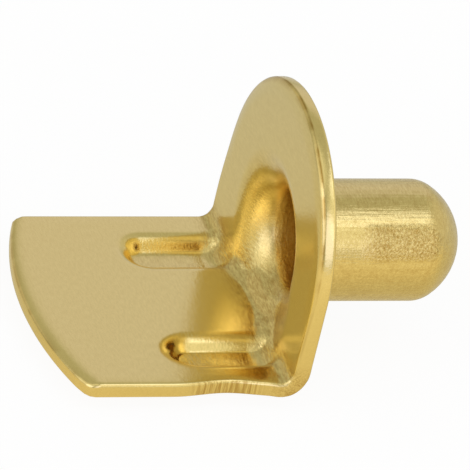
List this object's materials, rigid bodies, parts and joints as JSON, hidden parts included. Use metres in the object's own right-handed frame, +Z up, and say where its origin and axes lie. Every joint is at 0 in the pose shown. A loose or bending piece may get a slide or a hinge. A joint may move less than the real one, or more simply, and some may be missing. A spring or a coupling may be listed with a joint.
{
  "type": "shelf support pin",
  "caption": "Folded sheet-metal shelf support: a flat tab carries the shelf, an upright round-topped flange bears on the cabinet side, and a hollow domed pin plugs into its hole.",
  "frame": {"origin": "on the pin's axis, in the plane of the flange's back face, where the pin enters the cabinet side", "axes": "+X along the pin towards its tip, +Y across the part, +Z up from the tab towards the flange's round top"},
  "size_m": [0.0179, 0.012, 0.0111],
  "materials": {
    "brass_plating": "bright satin plating over stamped sheet"
  },
  "bodies": {
    "root": {"support_pin": "brass_plating"}
  },
  "joints": []
}
